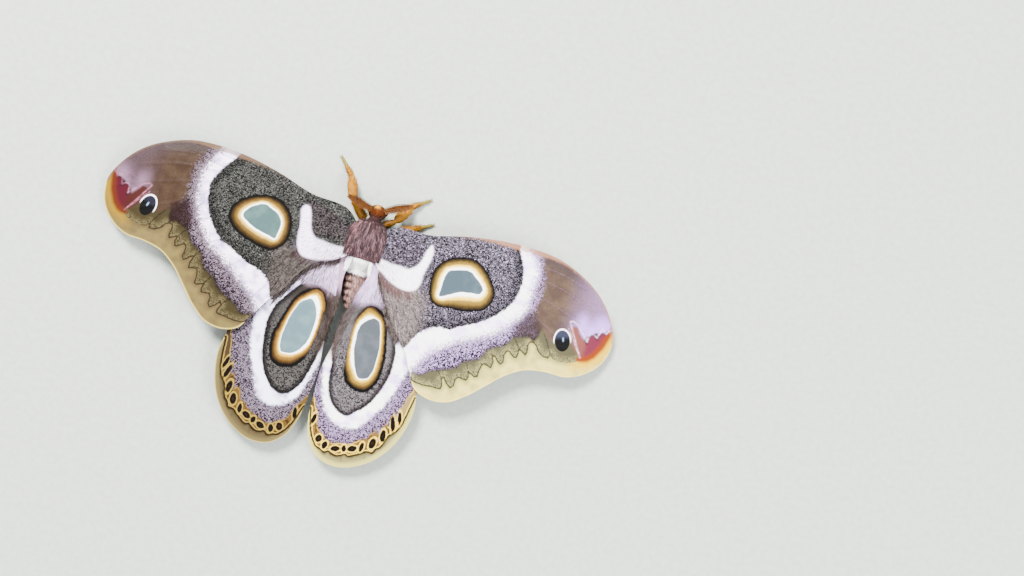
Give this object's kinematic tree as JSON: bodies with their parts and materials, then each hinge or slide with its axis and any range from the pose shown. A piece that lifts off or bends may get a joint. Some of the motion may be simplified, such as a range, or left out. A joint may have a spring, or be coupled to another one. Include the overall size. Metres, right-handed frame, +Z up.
{
  "type": "african emperor moth",
  "caption": "Life-size emperor moth at rest with its wings spread flat, a still museum model of the whole insect.",
  "frame": {"origin": "middle of the belly, on the surface that the belly and the feet rest on", "axes": "+Y to the head, +X to the moth's right side and along its wingspan, +Z up"},
  "size_m": [0.1007, 0.0569, 0.0082],
  "materials": {
    "body_hair": "long silky hair, pinkish brown with white bands",
    "abdomen_hair": "short dense hair in rings, pinkish tan",
    "head_hair": "short dense hair, dark orange",
    "eye_facets": "glossy black facets",
    "antenna_feather": "matt orange brown",
    "forewing_scales": "fine matt scales, patterned brown, white and olive",
    "hindwing_scales": "fine matt scales, patterned brown, white and ochre",
    "leg_hair": "short hair, light orange tan"
  },
  "bodies": {
    "root": {"thorax": "body_hair", "abdomen": "abdomen_hair", "head": "head_hair", "eye_left": "eye_facets", "eye_right": "eye_facets", "palp_left": "head_hair", "palp_right": "head_hair", "antenna_left": "antenna_feather", "antenna_right": "antenna_feather", "forewing_left": "forewing_scales", "forewing_right": "forewing_scales", "hindwing_left": "hindwing_scales", "hindwing_right": "hindwing_scales", "foreleg_left": "leg_hair", "foreleg_right": "leg_hair", "midleg_left": "leg_hair", "midleg_right": "leg_hair", "hindleg_left": "leg_hair", "hindleg_right": "leg_hair"}
  },
  "joints": []
}
